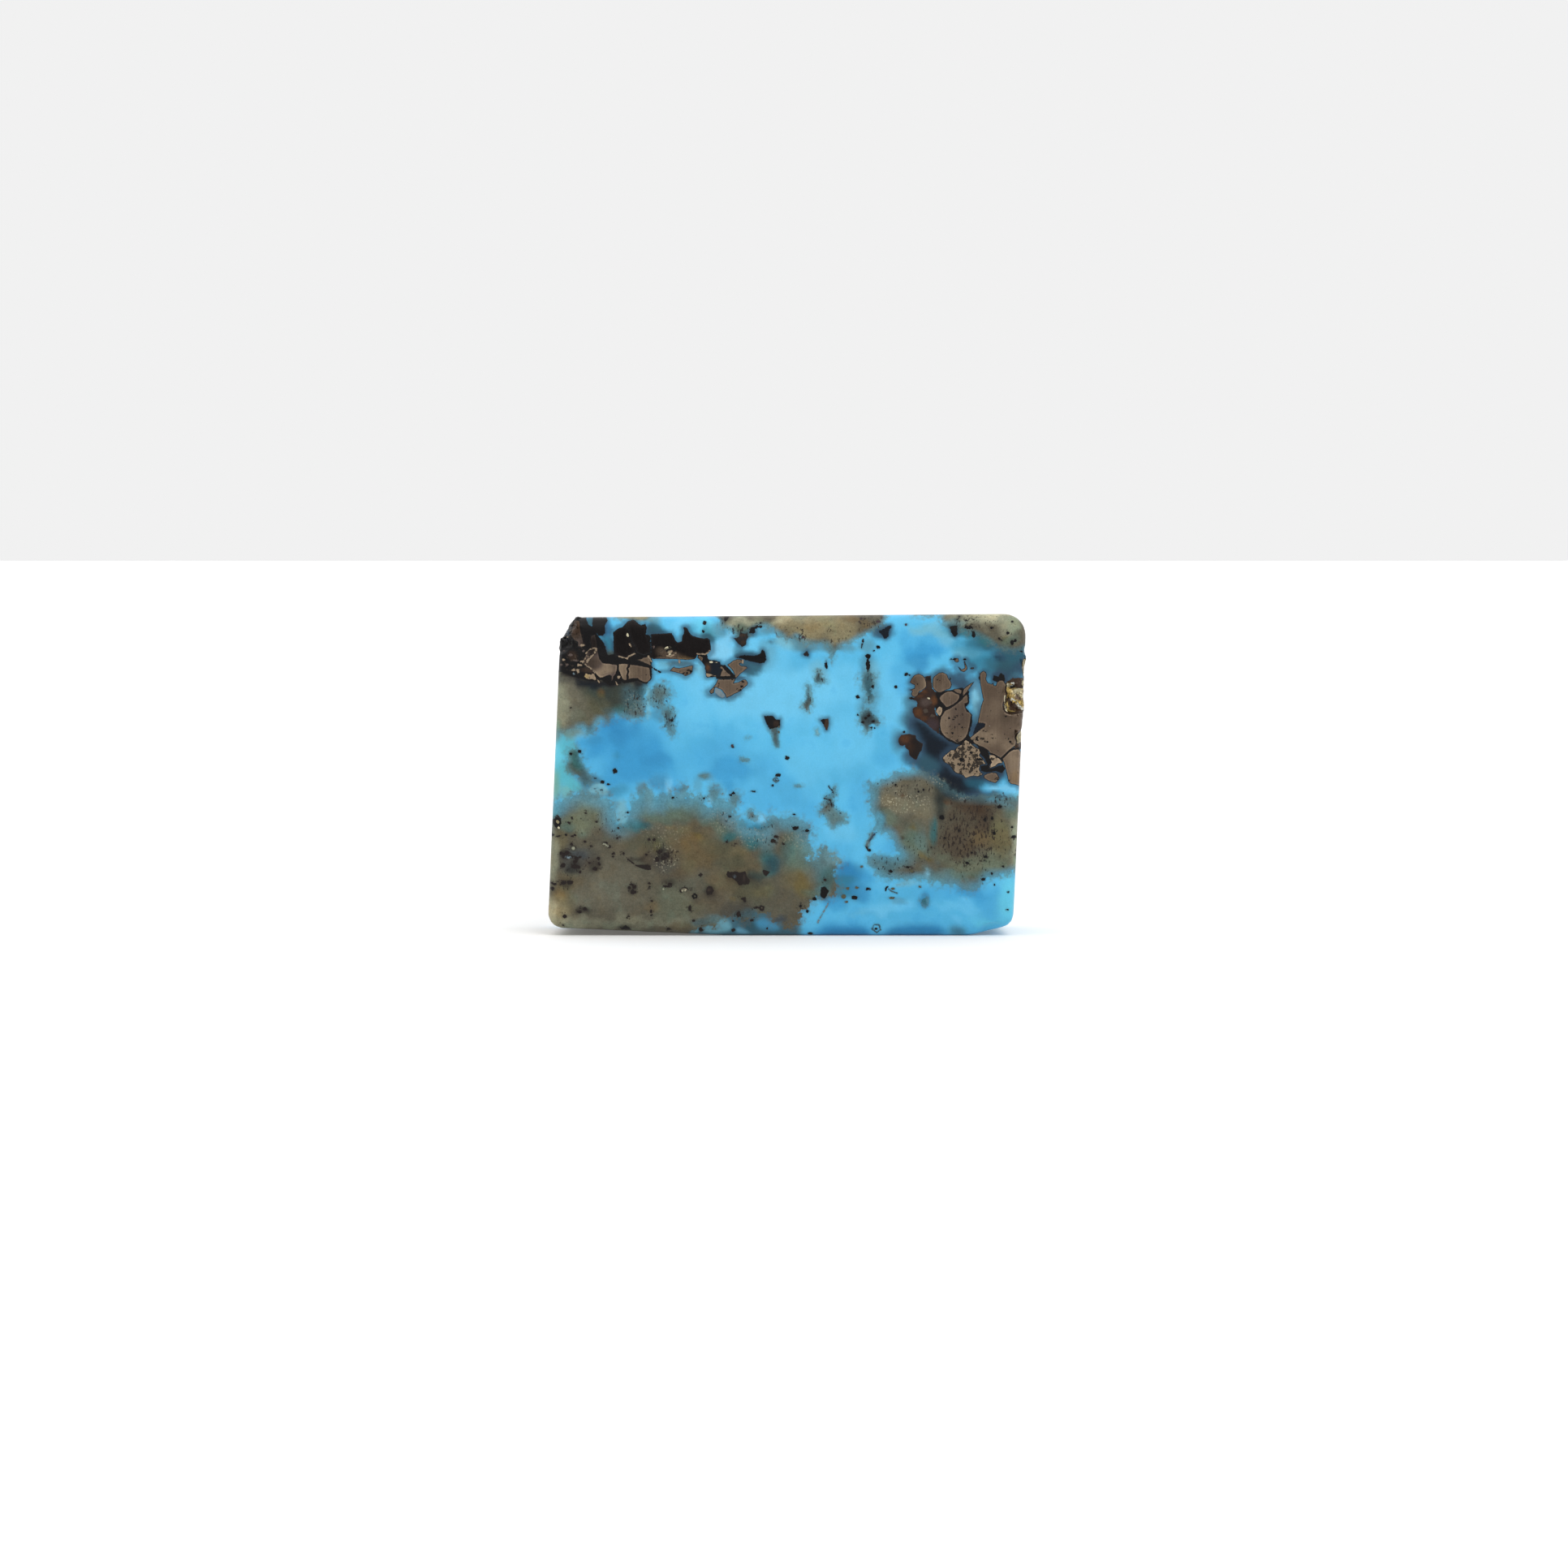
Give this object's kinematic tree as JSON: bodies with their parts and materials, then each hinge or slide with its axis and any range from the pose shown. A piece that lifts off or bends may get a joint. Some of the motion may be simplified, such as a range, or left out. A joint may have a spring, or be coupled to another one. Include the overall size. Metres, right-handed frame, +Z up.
{
  "type": "raw turquoise slab",
  "caption": "Small sawn and tumbled slab of sky-blue turquoise in grey-brown matrix with bronze pyrite, standing on its long edge.",
  "frame": {"origin": "on the surface that the slab stands on, below the middle of its bounding box", "axes": "+X along the slab to the right of its ground face, +Y through it towards the back, +Z up; the ground face looks along -Y"},
  "size_m": [0.0295, 0.008, 0.0199],
  "materials": {
    "turquoise": "polished sky-blue turquoise with grey-brown sugary matrix and bronze pyrite ground flush"
  },
  "bodies": {
    "root": {"turquoise_slab": "turquoise"}
  },
  "joints": []
}
